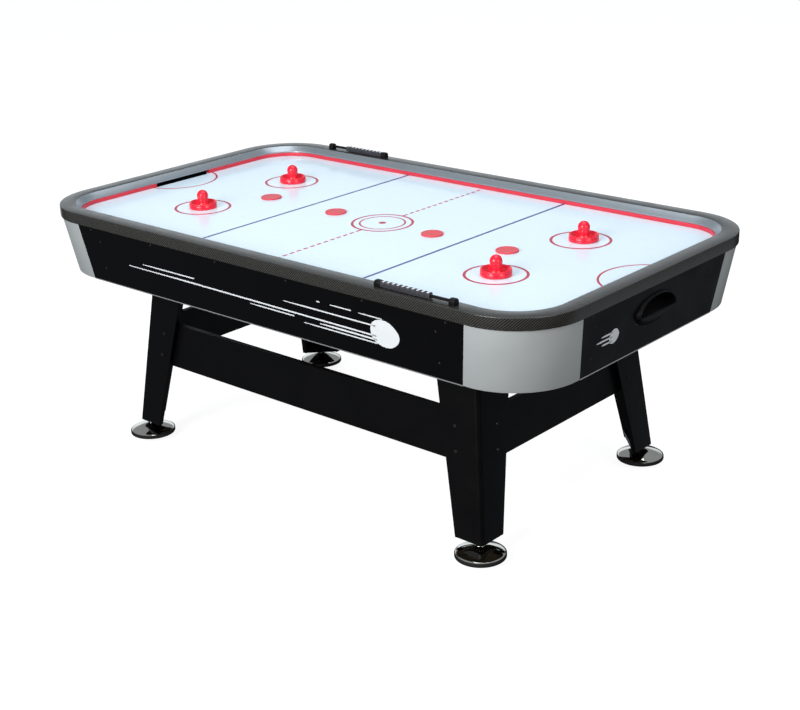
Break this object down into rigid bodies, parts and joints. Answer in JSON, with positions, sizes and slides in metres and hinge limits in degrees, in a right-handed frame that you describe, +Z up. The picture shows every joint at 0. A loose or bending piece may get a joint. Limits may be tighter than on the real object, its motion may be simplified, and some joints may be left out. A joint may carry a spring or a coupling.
{
  "type": "air hockey table",
  "caption": "Free-standing air hockey table: white field in a rounded carbon-look rail, black skirt with silver corner caps, splayed legs, chrome levelers, goal pockets, mallets and pucks.",
  "frame": {"origin": "on the floor under the middle of the table", "axes": "+X along the table towards the goal end with the front scorer, +Y towards the back side that holds the power panel, +Z up"},
  "size_m": [2.13, 1.228, 0.8617],
  "materials": {
    "carbon_film": "semi-gloss carbon-weave film over board",
    "liner_aluminium": "satin extrusion",
    "bumper_red": "semi-gloss red strip",
    "field_white": "gloss white laminate",
    "tray_board": "bare fibreboard",
    "apron_black": "fibreboard under satin black film",
    "cap_silver": "satin silver",
    "black_plastic": "matt black",
    "chrome": "polished",
    "pad_rubber": "matt black",
    "mallet_red": "gloss red",
    "puck_red": "semi-gloss red",
    "scorer_charcoal": "semi-gloss charcoal"
  },
  "bodies": {
    "table": {"rail_front": "carbon_film", "rail_back": "carbon_film", "rail_left": "carbon_film", "rail_right": "carbon_film", "rail_corner_front_left": "carbon_film", "rail_corner_front_right": "carbon_film", "rail_corner_back_left": "carbon_film", "rail_corner_back_right": "carbon_film", "liner_front": "liner_aluminium", "liner_back": "liner_aluminium", "liner_left": "liner_aluminium", "liner_right": "liner_aluminium", "bumper_front": "bumper_red", "bumper_back": "bumper_red", "playfield": "field_white", "air_tray": "tray_board", "apron_front": "apron_black", "apron_back": "apron_black", "apron_left": "apron_black", "apron_right": "apron_black", "corner_cap_front_left": "cap_silver", "corner_cap_front_right": "cap_silver", "corner_cap_back_left": "cap_silver", "corner_cap_back_right": "cap_silver", "goal_box_left": "black_plastic", "goal_pocket_left": "black_plastic", "goal_box_right": "black_plastic", "goal_pocket_right": "black_plastic", "leg_front_left": "apron_black", "leg_front_right": "apron_black", "leg_back_left": "apron_black", "leg_back_right": "apron_black", "stretcher_front": "apron_black", "stretcher_back": "apron_black", "stretcher_left": "apron_black", "stretcher_right": "apron_black", "blower_housing": "black_plastic", "power_panel": "black_plastic", "scorer_front_frame": "black_plastic", "scorer_back_frame": "black_plastic"},
    "mallet_front_left": {"mallet_front_left": "mallet_red"},
    "mallet_back_left": {"mallet_back_left": "mallet_red"},
    "mallet_front_right": {"mallet_front_right": "mallet_red"},
    "mallet_back_right": {"mallet_back_right": "mallet_red"},
    "puck_1": {"puck_1": "puck_red"},
    "puck_2": {"puck_2": "puck_red"},
    "puck_3": {"puck_3": "puck_red"},
    "puck_4": {"puck_4": "puck_red"},
    "scorer_front_beads": {"scorer_front_beads": "scorer_charcoal"},
    "scorer_back_beads": {"scorer_back_beads": "scorer_charcoal"},
    "leveler_front_left": {"leveler_front_left": "chrome", "leveler_pad_front_left": "pad_rubber"},
    "leveler_front_right": {"leveler_front_right": "chrome", "leveler_pad_front_right": "pad_rubber"},
    "leveler_back_left": {"leveler_back_left": "chrome", "leveler_pad_back_left": "pad_rubber"},
    "leveler_back_right": {"leveler_back_right": "chrome", "leveler_pad_back_right": "pad_rubber"},
    "impeller": {"blower_impeller": "black_plastic"},
    "rocker": {"power_rocker": "mallet_red"}
  },
  "joints": [
    {"name": "mallet_front_left_slide", "type": "slide", "parent": "table", "child": "mallet_front_left", "axis": [1, 0, 0], "range_m": [-0.293, 0.577]},
    {"name": "mallet_back_left_slide", "type": "slide", "parent": "table", "child": "mallet_back_left", "axis": [1, 0, 0], "range_m": [-0.293, 0.577]},
    {"name": "mallet_front_right_slide", "type": "slide", "parent": "table", "child": "mallet_front_right", "axis": [1, 0, 0], "range_m": [-0.583, 0.287]},
    {"name": "mallet_back_right_slide", "type": "slide", "parent": "table", "child": "mallet_back_right", "axis": [1, 0, 0], "range_m": [-0.587, 0.283]},
    {"name": "puck_1_slide", "type": "slide", "parent": "table", "child": "puck_1", "axis": [0, 1, 0], "range_m": [-0.45, 0.45]},
    {"name": "puck_2_slide", "type": "slide", "parent": "table", "child": "puck_2", "axis": [0, 1, 0], "range_m": [-0.45, 0.45]},
    {"name": "puck_3_slide", "type": "slide", "parent": "table", "child": "puck_3", "axis": [0, 1, 0], "range_m": [-0.45, 0.45]},
    {"name": "puck_4_slide", "type": "slide", "parent": "table", "child": "puck_4", "axis": [0, 1, 0], "range_m": [-0.45, 0.45]},
    {"name": "scorer_front_slide", "type": "slide", "parent": "table", "child": "scorer_front_beads", "axis": [1, 0, 0], "range_m": [0, 0.069]},
    {"name": "scorer_back_slide", "type": "slide", "parent": "table", "child": "scorer_back_beads", "axis": [-1, 0, 0], "range_m": [0, 0.069]},
    {"name": "leveler_front_left_adjust", "type": "slide", "parent": "table", "child": "leveler_front_left", "axis": [0, 0, -1], "range_m": [0, 0.02]},
    {"name": "leveler_front_right_adjust", "type": "slide", "parent": "table", "child": "leveler_front_right", "axis": [0, 0, -1], "range_m": [0, 0.02]},
    {"name": "leveler_back_left_adjust", "type": "slide", "parent": "table", "child": "leveler_back_left", "axis": [0, 0, -1], "range_m": [0, 0.02]},
    {"name": "leveler_back_right_adjust", "type": "slide", "parent": "table", "child": "leveler_back_right", "axis": [0, 0, -1], "range_m": [0, 0.02]},
    {"name": "impeller_spin", "type": "hinge", "parent": "table", "child": "impeller", "pos_m": [0, 0, 0.7], "axis": [0, 0, 1], "continuous": true},
    {"name": "rocker_tilt", "type": "hinge", "parent": "table", "child": "rocker", "pos_m": [-0.018, 0.59774, 0.7197], "axis": [1, 0, 0], "range_deg": [-16, 0]}
  ]
}
